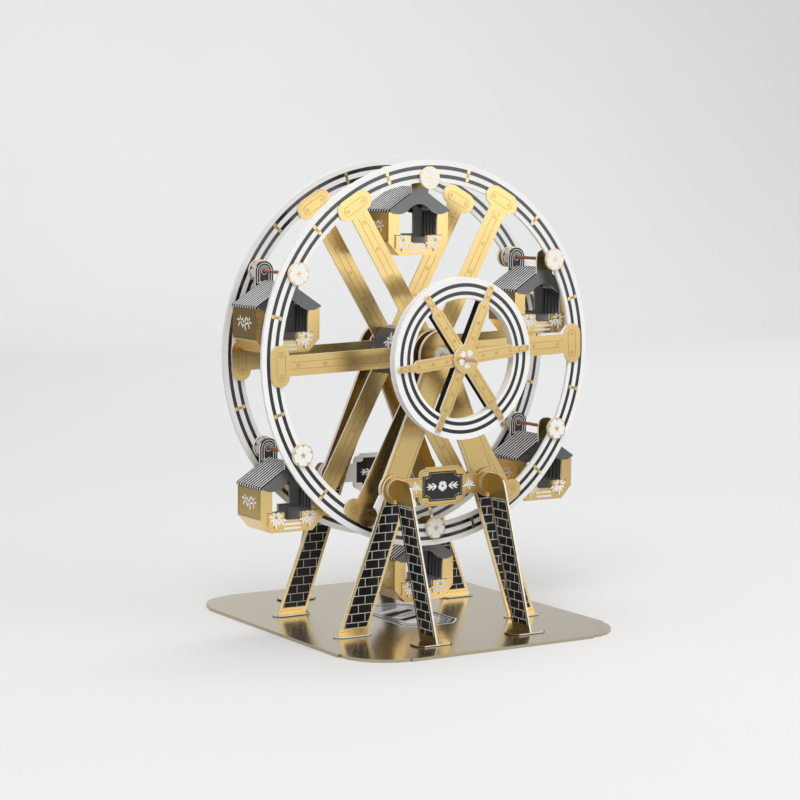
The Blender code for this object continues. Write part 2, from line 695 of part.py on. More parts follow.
def cabin_mesh():
    wall_top = roof_top(CABIN_HALF_WIDTH) - roof_drop() - CLEARANCE * 2
    gable_top = roof_top(0) - roof_drop() - CLEARANCE * 2
    side = [
        (CABIN_HALF_WIDTH - CABIN_CHAMFER_WIDTH, CABIN_BOTTOM),
        (CABIN_HALF_WIDTH, CABIN_BOTTOM + CABIN_CHAMFER_HEIGHT),
        (CABIN_HALF_WIDTH, wall_top),
    ]
    outer = side + [(0, gable_top)] + mirrored(side)
    body = flat_mesh("cabin_body", [outer], 2 * CABIN_HALF_DEPTH)
    above = gable_top + OVERRUN
    inside = CABIN_HALF_DEPTH - CARD
    through = CABIN_HALF_DEPTH + OVERRUN
    room = CABIN_HALF_WIDTH - CARD
    seat = CABIN_BOTTOM + CABIN_CHAMFER_HEIGHT + SEAT_RISE
    cuts = [
        room_mesh("above_seats", room, seat, above, inside),
        room_mesh("between_seats", room - BENCH_DEPTH, CABIN_BOTTOM + CARD, above, inside),
        room_mesh("doorway", CABIN_HALF_WIDTH - DOOR_JAMB, CABIN_BOTTOM + DOOR_SILL_RISE, above, through),
        room_mesh("rail_gap", RAIL_HALF_WIDTH, CABIN_BOTTOM + RAIL_RISE, above, through),
    ]
    unmoved = ((0, 0, 0), (0, 0, 0))
    return joined_mesh("cabin", body, [(cut, *unmoved) for cut in cuts], "DIFFERENCE")


def room_mesh(name, half_width, low, high, half_depth):
    side = [(half_width, low), (half_width, high)]
    return flat_mesh(name, [side + mirrored(side)], 2 * half_depth)


def ear_outline():
    """The plate at each end of the roof: a round ear on the dowel, slopes, lobes and an arch."""
    neck = roof_top(EAR_RADIUS) - EAR_SETBACK
    tip = ROOF_HALF_WIDTH - EAR_SETBACK
    tip_top = roof_top(tip) - EAR_SETBACK
    foot = roof_top(ROOF_HALF_WIDTH) - EAR_TIP_DROP
    lobe = bow((LOBE_INNER, foot), (tip, foot), LOBE_DEPTH)
    arch = bow((LOBE_INNER, foot), (-LOBE_INNER, foot), ARCH_RISE)
    ear = arc((0, 0), EAR_RADIUS, 0, 180, 2 * ARC_STEPS)
    right = lobe[1:] + [(tip, tip_top), (EAR_RADIUS, neck)]
    return right + ear + mirrored(right) + arch[::-1]


def roof_mesh():
    drop = roof_drop()
    eave = roof_top(ROOF_HALF_WIDTH)
    outer = [(ROOF_HALF_WIDTH, eave), (0, ROOF_RIDGE), (-ROOF_HALF_WIDTH, eave)]
    under = [(x, z - drop) for x, z in reversed(outer)]
    ear_middle = CABIN_HALF_DEPTH + CLEARANCE + EAR_THICKNESS / 2
    sheet = flat_mesh("roof_sheet", [outer + under], 2 * ear_middle)
    ear = flat_mesh("roof_ear", [ear_outline(), circle((0, 0), DOWEL_HOLE, HOLE_STEPS)], EAR_THICKNESS)
    ears = [(ear, (0, 0, side * ear_middle), (0, 0, 0)) for side in SIDES.values()]
    return joined_mesh("roof", sheet, ears, "UNION")


def axle_mesh():
    """A dowel with a rosette before each rim and one behind the back rim."""
    before_front = RIM_OUTER_FACE + CLEARANCE
    before_back = RIM_INNER_FACE - CLEARANCE
    thick = ROSETTE_THICKNESS
    profile = [
        (0, ROSETTE_OUTER_FACE),
        (ROSETTE_RADIUS, ROSETTE_OUTER_FACE),
        (ROSETTE_RADIUS, before_front),
        (DOWEL_RADIUS, before_front),
        (DOWEL_RADIUS, thick - before_back),
        (ROSETTE_RADIUS, thick - before_back),
        (ROSETTE_RADIUS, -before_back),
        (DOWEL_RADIUS, -before_back),
        (DOWEL_RADIUS, -before_front),
        (ROSETTE_RADIUS, -before_front),
        (ROSETTE_RADIUS, -ROSETTE_OUTER_FACE),
        (0, -ROSETTE_OUTER_FACE),
    ]
    return turned_mesh("gondola_axle", profile, AXLE_STEPS)


def make_gondolas(axis):
    cabin = cabin_mesh()
    roof = roof_mesh()
    axle = axle_mesh()
    for number, (x, z) in enumerate(pivots(), start=1):
        level = (0, math.radians(WHEEL_TURN), 0)
        pivot = empty(f"gondola_{number}_pivot", (x, 0, z), level, axis)
        place(f"gondola_{number}_axle", axle, "dowel_wood", (0, 0, 0), FACING_FRONT, pivot)
        place(f"gondola_{number}_roof", roof, "black_card", (0, 0, 0), FACING_FRONT, pivot)
        place(f"gondola_{number}_cabin", cabin, "gold_card", (0, 0, 0), FACING_FRONT, pivot)


make_base()
make_frames()
make_legs()
wheel_axis = empty("wheel_axis", along_axle(0, 1), (0, -math.radians(WHEEL_TURN), 0))
make_wheel(wheel_axis)
make_shaft(wheel_axis)
make_gondolas(wheel_axis)
drive_turn = (0, -math.radians(DRIVE_TURN - WHEEL_TURN), 0)
drive_axis = empty("drive_axis", (0, 0, 0), drive_turn, wheel_axis)
make_drive_wheel(drive_axis)
bpy.context.view_layer.update()
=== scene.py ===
import json
import math

import bmesh
import bpy
from mathutils import Matrix, Vector

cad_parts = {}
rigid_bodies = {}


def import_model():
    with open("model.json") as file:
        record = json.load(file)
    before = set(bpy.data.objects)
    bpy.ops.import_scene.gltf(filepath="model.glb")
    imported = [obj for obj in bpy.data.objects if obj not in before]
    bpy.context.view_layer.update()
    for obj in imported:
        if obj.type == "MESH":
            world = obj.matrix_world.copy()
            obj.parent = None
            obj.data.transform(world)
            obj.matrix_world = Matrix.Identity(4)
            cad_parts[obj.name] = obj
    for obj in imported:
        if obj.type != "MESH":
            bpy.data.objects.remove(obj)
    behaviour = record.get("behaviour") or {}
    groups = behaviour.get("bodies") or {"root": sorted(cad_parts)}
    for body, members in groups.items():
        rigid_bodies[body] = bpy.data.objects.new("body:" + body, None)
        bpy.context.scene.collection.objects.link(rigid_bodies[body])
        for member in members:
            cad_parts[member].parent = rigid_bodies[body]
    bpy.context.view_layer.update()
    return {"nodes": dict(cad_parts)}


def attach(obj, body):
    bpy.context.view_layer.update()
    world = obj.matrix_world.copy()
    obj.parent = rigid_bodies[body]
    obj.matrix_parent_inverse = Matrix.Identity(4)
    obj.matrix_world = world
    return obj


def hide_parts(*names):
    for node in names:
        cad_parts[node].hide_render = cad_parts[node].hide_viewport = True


for thing in list(bpy.data.objects):
    bpy.data.objects.remove(thing, do_unlink=True)

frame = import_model()
nodes = frame["nodes"]
print("frame loaded:", len(nodes), "pieces of card and wood")

# Everything is drawn in millimetres and scaled once, when a piece is made.
millimetre = 0.001
layout = {
    "wheelMiddle": -3.0,     # the wheel's middle plane along Y
    "axleHeight": 177.7,
    "wheelTurn": 1.9,        # degrees, counter-clockwise from the front
    "driveTurn": 6.4,
    "armTurns": range(0, 360, 60),
    "betweenArms": 30,       # gondolas and the drum's faces are half way between two arms
    "pivotRadius": 113.5,
}
# Ink and foil go a little into the card and stand over it. Crossing petals are lifted in steps.
ink = {"sunk": 0.02, "proud": 0.05, "lift": 0.004}
# Each side of a piece: the direction across it as it is looked at, and the direction out of it.
sides = {
    "front": ((1, 0, 0), (0, -1, 0)), "back": ((-1, 0, 0), (0, 1, 0)),
    "left": ((0, -1, 0), (-1, 0, 0)), "right": ((0, 1, 0), (1, 0, 0)),
}
opposite = {"front": "back", "back": "front"}


def onWheel(turn):
    middle = Matrix.Translation((0, layout["wheelMiddle"], layout["axleHeight"]))
    return middle @ Matrix.Rotation(-math.radians(turn), 4, "Y")


def atPivot(turn):
    angle = math.radians(layout["wheelTurn"] + layout["betweenArms"] + turn)
    radius = layout["pivotRadius"]
    x, z = radius * math.cos(angle), layout["axleHeight"] + radius * math.sin(angle)
    return Matrix.Translation((x, layout["wheelMiddle"], z))


inStand = Matrix.Translation((0, layout["wheelMiddle"], 0))
wheelPlace = onWheel(layout["wheelTurn"])
drivePlace = onWheel(layout["driveTurn"])


# Local X and Y lie in the face, local Z points out of it.
def facing(side, depth, about=(0, 0)):
    across, normal = sides[side]
    turn = Matrix((across, (0, 0, 1), normal)).transposed().to_4x4()
    turn.translation = Vector(normal) * depth
    return turn @ Matrix.Translation((*about, 0))


def bothFronts(depth):
    return [facing("front", depth), facing("back", depth)]


def bothSides(depth):
    return [facing("left", depth), facing("right", depth)]


def spun(degrees):
    return Matrix.Rotation(math.radians(degrees), 4, "Z")


def dot(shape, x, y, radius, steps=20):
    bmesh.ops.create_circle(shape, cap_ends=True, radius=radius, segments=steps,
                            matrix=Matrix.Translation((x, y, 0)))


def loop(shape, x, y, radius, width, steps=36):
    edges = []
    for edgeRadius in (radius - width / 2, radius + width / 2):
        made = bmesh.ops.create_circle(shape, radius=edgeRadius, segments=steps,
                                       matrix=Matrix.Translation((x, y, 0)))
        edges += {edge for vert in made["verts"] for edge in vert.link_edges}
    bmesh.ops.bridge_loops(shape, edges=edges)


def bands(shape, radii, steps):
    for inner, outer in radii:
        loop(shape, 0, 0, (inner + outer) / 2, outer - inner, steps)


def area(shape, points):
    return shape.faces.new([shape.verts.new((x, y, 0)) for x, y in points])


def bar(shape, x0, y0, x1, y1, width):
    along = Vector((x1 - x0, y1 - y0)).normalized() * width / 2
    side = Vector((-along.y, along.x))
    area(shape, [(x0 + side.x, y0 + side.y), (x0 - side.x, y0 - side.y),
                 (x1 - side.x, y1 - side.y), (x1 + side.x, y1 + side.y)])


def twinLines(shape, ends, offset, width):
    for y in (-offset, offset):
        bar(shape, ends[0], y, ends[1], y, width)


# Upright bars side by side, with the middle of the row at zero.
def stripes(shape, count, pitch, low, high, width):
    for number in range(count):
        x = (number - (count - 1) / 2) * pitch
        bar(shape, x, low, x, high, width)


def border(shape, points, width):
    inner = area(shape, points)
    inner.normal_update()
    bmesh.ops.inset_region(shape, faces=[inner], thickness=width, use_even_offset=True,
                           use_boundary=True)
    bmesh.ops.delete(shape, geom=[inner], context="FACES_ONLY")


# A leaf or a petal that begins a little way out from (x, y). Taper narrows its root, and a
# notch makes it a heart.
def petal(shape, x, y, angle, length, width, start=0.0, steps=10, notch=0.0, taper=0.0):
    notchHalf = 0.35
    lift = ink["lift"] * (len(shape.faces) % 10)
    made = bmesh.ops.create_circle(shape, cap_ends=True, radius=1, segments=steps)
    turn = math.radians(angle)
    x, y = x + start * math.cos(turn), y + start * math.sin(turn)
    for vert in made["verts"]:
        u, v = vert.co.x, vert.co.y
        v *= 1 + taper * u
        if notch and abs(v) < notchHalf and u > 0:
            u -= notch * (1 - abs(v) / notchHalf)
        u, v = (u + 1) * length / 2, v * width / 2
        vert.co = (x + u * math.cos(turn) - v * math.sin(turn),
                   y + u * math.sin(turn) + v * math.cos(turn), lift)


def arcPoints(x, y, radius, start, end, steps):
    turns = [math.radians(start + (end - start) * step / steps) for step in range(steps + 1)]
    return [(x + radius * math.cos(turn), y + radius * math.sin(turn)) for turn in turns]


# A strip with round ends, long in Y.
def capsule(halfLength, halfWidth, steps=10):
    reach = halfLength - halfWidth
    return (arcPoints(0, reach, halfWidth, 0, 180, steps)
            + arcPoints(0, -reach, halfWidth, 180, 360, steps))


def vertsOf(grown):
    return [item for item in grown["geom"] if isinstance(item, bmesh.types.BMVert)]


# Turns a flat drawing into a thin closed solid on its face.
def raised(shape, proud=ink["proud"], normal=(0, 0, 1)):
    outward = Vector(normal)
    bmesh.ops.translate(shape, verts=shape.verts, vec=-ink["sunk"] * outward)
    grown = bmesh.ops.extrude_face_region(shape, geom=shape.faces[:])
    bmesh.ops.translate(shape, verts=vertsOf(grown), vec=(proud + ink["sunk"]) * outward)
    bmesh.ops.recalc_face_normals(shape, faces=shape.faces)
    return shape


# One shape, repeated at each of the places, on its own or added to a whole.
def stamped(shape, places, whole=None):
    flat = bpy.data.meshes.new("stamp")
    shape.to_mesh(flat)
    shape.free()
    if whole is None:
        whole = bmesh.new()
    for place in places:
        copy = flat.copy()
        copy.transform(place)
        whole.from_mesh(copy)
        bpy.data.meshes.remove(copy)
    bpy.data.meshes.remove(flat)
    return whole


def makePiece(name, shape, finish, body, place=None):
    mesh = bpy.data.meshes.new(name)
    shape.to_mesh(mesh)
    shape.free()
    mesh.transform(Matrix.Scale(millimetre, 4) @ (place or Matrix.Identity(4)))
    for each in finish if isinstance(finish, list) else [finish]:
        mesh.materials.append(each)
    mesh.shade_smooth()
    mesh.set_sharp_from_angle(angle=math.radians(30))
    piece = bpy.data.objects.new(name, mesh)
    bpy.context.scene.collection.objects.link(piece)
    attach(piece, body)
    return piece


# A print: a flat drawing, raised over the card and stamped at each of the places.
def makePrint(name, shape, places, finish, body, place, proud=ink["proud"]):
    makePiece(name, stamped(raised(shape, proud), places), finish, body, place)


# A clean copy of a CAD piece in millimetres, with its flat sides as whole faces.
def merged(node):
    shape = bmesh.new()
    shape.from_mesh(nodes[node].data)
    bmesh.ops.transform(shape, matrix=Matrix.Scale(1 / millimetre, 4), verts=shape.verts)
    bmesh.ops.remove_doubles(shape, verts=shape.verts, dist=0.001)
    bmesh.ops.dissolve_limit(shape, angle_limit=math.radians(0.5), verts=shape.verts,
                             edges=shape.edges, use_dissolve_boundaries=False)
    return shape


# The broad flat side of a card piece, drawn in by inset: whole, or only a line round it.
def sideOf(node, side, inset, lineWidth=None, above=None, below=None, proud=ink["proud"]):
    shape = merged(node)
    normal = Vector(sides[side][1])
    broad = max((face for face in shape.faces if face.normal.dot(normal) > 0.999),
                key=lambda face: face.calc_area())
    others = [face for face in shape.faces if face != broad]
    bmesh.ops.delete(shape, geom=others, context="FACES")
    for limit, keepBelow in ((above, False), (below, True)):
        if limit is not None:
            bmesh.ops.bisect_plane(shape, geom=shape.verts[:] + shape.edges[:] + shape.faces[:],
                                   plane_co=(0, 0, limit), plane_no=(0, 0, 1),
                                   clear_outer=keepBelow, clear_inner=not keepBelow)
    rims = bmesh.ops.inset_region(shape, faces=shape.faces[:], thickness=inset,
                                  use_even_offset=True, use_boundary=True)["faces"]
    bmesh.ops.delete(shape, geom=rims, context="FACES")
    if lineWidth is not None:
        inner = shape.faces[:]
        bmesh.ops.inset_region(shape, faces=inner, thickness=lineWidth, use_even_offset=True,
                               use_boundary=True)
        bmesh.ops.delete(shape, geom=inner, context="FACES_ONLY")
    return raised(shape, proud, normal)


# Sets a socket to a number or a colour, or links another node's output to it.
def feed(tree, target, value):
    if isinstance(value, bpy.types.NodeSocket):
        tree.links.new(value, target)
    else:
        target.default_value = (*value, 1) if target.type == "RGBA" else value


def newNode(tree, kind, inputs=None, **options):
    node = tree.nodes.new("ShaderNode" + kind)
    for option, value in options.items():
        setattr(node, option, value)
    for key, value in (inputs or {}).items():
        feed(tree, node.inputs[key], value)
    return node.outputs


def newFinish(name):
    material = bpy.data.materials.new(name)
    material.use_nodes = True
    return material, material.node_tree


def setShader(tree, inputs):
    for key, value in inputs.items():
        feed(tree, tree.nodes["Principled BSDF"].inputs[key], value)


def mathNode(tree, operation, *values):
    return newNode(tree, "Math", dict(enumerate(values)), operation=operation)["Value"]


def noiseNode(tree, scale, detail=3.0, stretch=(1, 1, 1)):
    coords = newNode(tree, "TexCoord")["Object"]
    vector = newNode(tree, "Mapping", {"Vector": coords, "Scale": stretch})["Vector"]
    return newNode(tree, "TexNoise", {"Vector": vector, "Scale": scale, "Detail": detail})["Fac"]


# The middle part of a noise, spread from low to high.
def between(tree, value, low, high):
    return newNode(tree, "MapRange", {"Value": value, "From Min": 0.3, "From Max": 0.7,
                                      "To Min": low, "To Max": high})["Result"]


# A mix of two colours, or of two numbers when kind is FLOAT.
def blended(tree, factor, first, second, kind="RGBA"):
    sockets, result = {"RGBA": ((0, 6, 7), 2), "FLOAT": ((0, 2, 3), 0)}[kind]
    inputs = dict(zip(sockets, (factor, first, second)))
    return newNode(tree, "Mix", inputs, data_type=kind)[result]


def shade(colour, factor):
    return tuple(min(1, channel * factor) for channel in colour)


def mottled(tree, colour, scale, vary):
    return blended(tree, between(tree, noiseNode(tree, scale), 0, 1),
                   shade(colour, 1 - vary), shade(colour, 1 + vary))


def addBump(tree, height, strength, distance):
    bump = newNode(tree, "Bump", {"Height": height, "Strength": strength, "Distance": distance})
    setShader(tree, {"Normal": bump["Normal"]})


# 1 on the printed sides of a card piece, 0 on its cut edges. With oneSide 1 or -1, only that side.
def onFaces(tree, axis, oneSide=0):
    split = newNode(tree, "SeparateXYZ", {"Vector": newNode(tree, "TexCoord")["Normal"]})
    size = mathNode(tree, "MULTIPLY" if oneSide else "ABSOLUTE", split[axis], oneSide)
    return mathNode(tree, "GREATER_THAN", size, 0.7)


cardEdge = {"colour": (0.80, 0.74, 0.62), "roughness": 0.75, "fibres": (0.25, 1, 0.25)}


# The cut edge of pressed card: pale, with faint layers and fibres.
def layeredEdge(tree, colour=cardEdge["colour"]):
    fibres = between(tree, noiseNode(tree, 900, 4, cardEdge["fibres"]), 0, 1)
    return blended(tree, fibres, shade(colour, 0.86), shade(colour, 1.08))


# Printed card, or foiled card with metallic 1: slight unevenness in tone and gloss, and pale cut
# edges where a printed axis is given. The reverse is a colour on one of its two sides: a print on
# the front pieces, and painted shade on the back frame.
def cardFinish(name, colour, roughness, metallic=0.0, printedAxis=None, vary=0.02, coat=0.0,
               edge=cardEdge["colour"], sheen=0.5, reverse=None, reverseSide=1,
               reverseFoiled=False):
    material, tree = newFinish(name)
    tone = mottled(tree, colour, 45, vary)
    gloss = between(tree, noiseNode(tree, 40, 2), roughness * 0.94, roughness * 1.06)
    metal = metallic
    if printedAxis is not None:
        onFace = onFaces(tree, printedAxis)
        tone = blended(tree, onFace, layeredEdge(tree, edge), tone)
        gloss = blended(tree, onFace, cardEdge["roughness"], gloss, "FLOAT")
        metal = onFace if metallic else 0.0
        if reverse is not None:
            behind = onFaces(tree, printedAxis, reverseSide)
            tone = blended(tree, behind, tone, reverse)
            metal = onFace if reverseFoiled else mathNode(tree, "SUBTRACT", onFace, behind)
    setShader(tree, {"Base Color": tone, "Roughness": gloss, "Metallic": metal,
                     "Specular IOR Level": sheen, "Coat Weight": coat, "Coat Roughness": 0.25})
    if not metallic:
        addBump(tree, noiseNode(tree, 1400, 3), 0.03, 0.0001)
    return material


# A leg: its flat sides in one colour, its foot pad foiled on top, its cut edges pale.
def legFinish(name, sideAxis, colour, metallic, padColour):
    material, tree = newFinish(name)
    onSide, onPad = onFaces(tree, sideAxis), onFaces(tree, "Z")
    tone = blended(tree, onSide, layeredEdge(tree), mottled(tree, colour, 260, 0.04))
    gloss = between(tree, noiseNode(tree, 180, 4), 0.28, 0.36)
    setShader(tree, {
        "Base Color": blended(tree, onPad, tone, mottled(tree, padColour, 200, 0.05)),
        "Metallic": mathNode(tree, "MULTIPLY_ADD", onSide, metallic, onPad),
        "Roughness": blended(tree, onPad, gloss, 0.16, "FLOAT"),
    })
    return material


def edgeFinish(name):
    material, tree = newFinish(name)
    setShader(tree, {"Base Color": layeredEdge(tree), "Roughness": cardEdge["roughness"]})
    addBump(tree, noiseNode(tree, 1200, 4, cardEdge["fibres"]), 0.25, 0.0002)
    return material


def inkFinish(name, colour, roughness, vary=0.08, metallic=0.0, sheen=0.5, coat=0.0):
    material, tree = newFinish(name)
    gloss = between(tree, noiseNode(tree, 300, 3), roughness * 0.85, roughness * 1.15)
    setShader(tree, {"Base Color": mottled(tree, colour, 500, vary), "Roughness": gloss,
                     "Metallic": metallic, "Specular IOR Level": sheen, "Coat Weight": coat,
                     "Coat Roughness": 0.2})
    return material


# Dark glossy bricks in running bond with pale joints, printed on a leg.
def brickFinish(name, upAxis, acrossAxis, brick):
    material, tree = newFinish(name)
    split = newNode(tree, "SeparateXYZ", {"Vector": newNode(tree, "TexCoord")["Object"]})
    flat = newNode(tree, "CombineXYZ", {"X": split[acrossAxis], "Y": split[upAxis]})["Vector"]
    vector = newNode(tree, "Mapping", {"Vector": flat, "Location": brick["shift"]})["Vector"]
    wall = newNode(tree, "TexBrick", {
        "Vector": vector, "Scale": 1, "Color1": brick["dark"], "Color2": brick["light"],
        "Mortar": brick["joint"], "Mortar Size": brick["jointWidth"], "Mortar Smooth": 0.0,
        "Brick Width": brick["length"], "Row Height": brick["course"],
    })
    gloss = between(tree, noiseNode(tree, 250, 3), *brick["roughness"])
    setShader(tree, {"Base Color": wall["Color"], "Roughness": gloss,
                     "Specular IOR Level": brick["sheen"]})
    return material


def woodFinish(name, colour, grainStretch):
    material, tree = newFinish(name)
    grain = between(tree, noiseNode(tree, 700, 5, grainStretch), 0, 1)
    setShader(tree, {"Base Color": blended(tree, grain, shade(colour, 0.68), shade(colour, 1.22)),
                     "Roughness": 0.55})
    addBump(tree, grain, 0.3, 0.0003)
    return material


foil = {"colour": (0.88, 0.64, 0.265), "roughness": 0.27, "metallic": 1.0, "coat": 0.15}
gold = cardFinish("gold foil on card", printedAxis="Y", **foil)
goldFront = cardFinish("gold foil with a dark reverse", printedAxis="Y",
                       reverse=(0.03, 0.03, 0.031), **foil)
# painted shade: the back frame's inner side, which faces the wheel, is a darker bronze copy of the
# gold foil
goldBackShaded = cardFinish("gold foil with painted shade inside", printedAxis="Y",
                      reverse=(0.30, 0.19, 0.06), reverseSide=-1, reverseFoiled=True, **foil)
goldSide = cardFinish("gold foil side", **foil)
baseFoil = cardFinish("pale gold base foil", (0.475, 0.412, 0.29), 0.2, 1.0)
whiteCard = cardFinish("white glazed card", (0.86, 0.86, 0.85), 0.4, printedAxis="Y",
                       edge=(0.82, 0.81, 0.79))
slate = cardFinish("slate grey print", (0.075, 0.078, 0.09), 0.32)
black = cardFinish("black print on card", (0.014, 0.014, 0.015), 0.34, vary=0.1)
lining = cardFinish("grey lining print", (0.55, 0.55, 0.55), 0.35, vary=0.06)
charcoal = cardFinish("charcoal print on card", (0.065, 0.065, 0.067), 0.28, vary=0.05, coat=1.0,
                      sheen=1.0)
cutEdge = edgeFinish("cut card edge")
blackInk = inkFinish("black ink", (0.008, 0.008, 0.009), 0.2, sheen=0.8, coat=0.4)
whiteInk = inkFinish("white ink", (0.86, 0.86, 0.85), 0.5, 0.02)
brownInk = inkFinish("brown ink line", (0.38, 0.24, 0.095), 0.35, 0.05, 0.8)
goldInk = inkFinish("gilt print", (0.88, 0.66, 0.31), 0.27, 0.02, 1.0)
bronzeInk = inkFinish("bronze print", (0.55, 0.38, 0.16), 0.3, 0.03, 1.0)
jointInk = inkFinish("pale joint line", (0.60, 0.58, 0.52), 0.45, 0.03)
darkInk = inkFinish("dark stripe ink", (0.06, 0.06, 0.06), 0.4)
bronzeEar = inkFinish("dark bronze foil", (0.20, 0.15, 0.055), 0.3, 0.03, 1.0)
matteInk = inkFinish("matte black ink", (0.012, 0.012, 0.012), 0.7, sheen=0.1)
panelInk = inkFinish("glossy grey panel", (0.36, 0.37, 0.39), 0.12, 0.05)
paleWood = woodFinish("shaft birch", (0.62, 0.45, 0.30), (1, 0.06, 1))
redWood = woodFinish("stained dowel", (0.36, 0.13, 0.07), (1, 0.08, 1))
brickPrint = {   # in metres, as the brick pattern takes them
    "course": 0.0056, "length": 0.0098, "jointWidth": 0.00024, "shift": (0.003, 0.0008, 0),
    "dark": (0.006, 0.006, 0.006), "light": (0.013, 0.013, 0.013), "joint": (0.56, 0.55, 0.50),
    "roughness": (0.18, 0.28), "sheen": 0.2,
}
bricksFront = brickFinish("brick print on the frame legs", "Z", "X", brickPrint)
bricksSide = brickFinish("brick print on the buttresses", "Z", "Y", brickPrint)
print("finishes made")

# The CAD pieces whose shape is right keep it and take these finishes, or else gold.
keptFinishes = {
    "base_plate": baseFoil, "hub_drum": slate, "main_shaft": paleWood, "drive_back_star": matteInk,
    "back_frame": goldBackShaded, "front_rim": whiteCard, "back_rim": whiteCard, "drive_ring": whiteCard,
    "shaft_stop_disc": whiteCard, "front_bearing_washer": whiteCard,
    "back_bearing_washer": whiteCard,
}
for name, node in nodes.items():
    node.data.materials.clear()
    node.data.materials.append(
        keptFinishes.get(name, goldFront if name.startswith("front_") else gold))


# An alpine flower: eight slim leaves, every second one shorter.
def edelweiss(shape, x, y, size, turn):
    for number in range(8):
        long = 1.0 if number % 2 == 0 else 0.72
        petal(shape, x, y, turn + 45 * number, size * long, size * 0.24, 0.1 * size, 8, taper=0.15)


# Five heart-shaped petals, one of them pointing down.
def rosettePetals(shape, reach, root=0.17, width=0.8):
    start = reach * root
    for number in range(5):
        petal(shape, 0, 0, -90 + 72 * number, reach - start, reach * width, start, 22, 0.34, 0.42)


def screw(shape, x, y, radius):
    loop(shape, x, y, radius, 0.22, 16)
    slot, slope = radius * 0.75, math.radians(40)
    bar(shape, x - slot * math.cos(slope), y - slot * math.sin(slope),
        x + slot * math.cos(slope), y + slot * math.sin(slope), 0.24)


rims = {
    "faces": (("front_rim", "front", 26.3), ("front_rim", "back", -24.3),
              ("back_rim", "front", -24.3), ("back_rim", "back", 26.3)),
    "bands": ((119.04, 121.45), (113.5, 115.9)), "bandSteps": 144,
    "clipTurns": range(15, 375, 30), "clipEnds": (115.0, 120.4),
    "clipEndRadius": 1.3, "clipEndProud": 0.3, "clipWidth": 1.7, "clipProud": 0.22,
}
for node, side, depth in rims["faces"]:
    face = facing(side, depth)
    clips = [face @ spun(turn) for turn in rims["clipTurns"]]
    low, high = rims["clipEnds"]
    shape = bmesh.new()
    bands(shape, rims["bands"], rims["bandSteps"])
    makePrint(f"{node}_{side}_bands", shape, [face], blackInk, "wheel", wheelPlace)
    shape = bmesh.new()
    for radius in (low, high):
        dot(shape, radius, 0, rims["clipEndRadius"], 14)
    makePrint(f"{node}_{side}_clip_ends", shape, clips, goldInk, "wheel", wheelPlace,
              rims["clipEndProud"])
    shape = bmesh.new()
    bar(shape, low, 0, high, 0, rims["clipWidth"])
    makePrint(f"{node}_{side}_clip_bars", shape, clips, bronzeInk, "wheel", wheelPlace,
              rims["clipProud"])

spokes = {
    "faces": (("front", "front", 27.8), ("front", "back", -26.6),
              ("back", "front", -22.8), ("back", "back", 24.0)),
    "lines": (12.5, 104.6), "lineOffset": 2.2, "lineWidth": 0.26,
    "screws": (100.0, 80.5, 60.0, 40.0), "screwRadius": 1.15,
    "headRadius": 112.05, "headHalfLength": 9.2, "headHalfWidth": 3.15, "headScrew": 6.5,
}
for row, side, depth in spokes["faces"]:
    shape = bmesh.new()
    twinLines(shape, spokes["lines"], spokes["lineOffset"], spokes["lineWidth"])
    for radius in spokes["screws"]:
        screw(shape, radius, 0, spokes["screwRadius"])
    head = capsule(spokes["headHalfLength"], spokes["headHalfWidth"])
    border(shape, [(x + spokes["headRadius"], y) for x, y in head], spokes["lineWidth"])
    for offset in (-spokes["headScrew"], spokes["headScrew"]):
        screw(shape, spokes["headRadius"], offset, spokes["screwRadius"])
    places = [facing(side, depth) @ spun(turn) for turn in layout["armTurns"]]
    makePrint(f"{row}_spokes_{side}_print", shape, places, brownInk, "wheel",
              wheelPlace)

hub = {
    "drumFace": 15.2, "flowerAlong": 3.0, "flowerSize": 6.0, "flowerTurn": 20,
    "discLine": 14.6, "discLineWidth": 0.3, "discFaces": (29.6, 25.8),   # in front and behind
}
shape = bmesh.new()
edelweiss(shape, 0, 0, hub["flowerSize"], hub["flowerTurn"])
places = [Matrix.Rotation(-math.radians(layout["betweenArms"] + turn), 4, "Y")
          @ facing("right", hub["drumFace"], (hub["flowerAlong"], 0)) for turn in layout["armTurns"]]
makePrint("hub_drum_flowers", shape, places, whiteInk, "wheel", wheelPlace)
shape = bmesh.new()
loop(shape, 0, 0, hub["discLine"], hub["discLineWidth"], 48)
places = [facing("front", hub["discFaces"][0]), facing("back", hub["discFaces"][1])]
makePrint("hub_discs_print", shape, places, brownInk, "wheel", wheelPlace)
print("wheel dressed")

drive = {
    "bands": ((45.42, 47.79), (40.3, 42.66)), "bandSteps": 96,
    "ringFaces": {"front": 63.8, "back": -57.8}, "starFace": 65.3, "hubFace": 67.3,
    "lines": (9.6, 36.0), "lineOffset": 2.4, "lineWidth": 0.24,
    "tongue": (39.0, 49.0), "tongueOffset": 1.2, "tongueWidth": 0.2,
    "screws": (14.0, 24.3, 35.1), "screwRadius": 0.95, "tipScrews": (42.1, 48.2), "tipRadius": 0.75,
    "petals": (6.2, 0.3, 0.62),   # reach, and root and width as parts of it
}
for side, depth in drive["ringFaces"].items():
    shape = bmesh.new()
    bands(shape, drive["bands"], drive["bandSteps"])
    makePrint(f"drive_ring_{side}_bands", shape, [facing(side, depth)], blackInk, "wheel",
              drivePlace)
shape = bmesh.new()
twinLines(shape, drive["lines"], drive["lineOffset"], drive["lineWidth"])
twinLines(shape, drive["tongue"], drive["tongueOffset"], drive["tongueWidth"])
for screws, screwRadius in (("screws", "screwRadius"), ("tipScrews", "tipRadius")):
    for radius in drive[screws]:
        screw(shape, radius, 0, drive[screwRadius])
places = [facing("front", drive["starFace"]) @ spun(turn) for turn in layout["armTurns"]]
makePrint("drive_star_print", shape, places, brownInk, "wheel", drivePlace)
shape = bmesh.new()
rosettePetals(shape, *drive["petals"])
makePrint("drive_hub_petals", shape, [facing("front", drive["hubFace"])], whiteInk, "wheel",
          drivePlace)
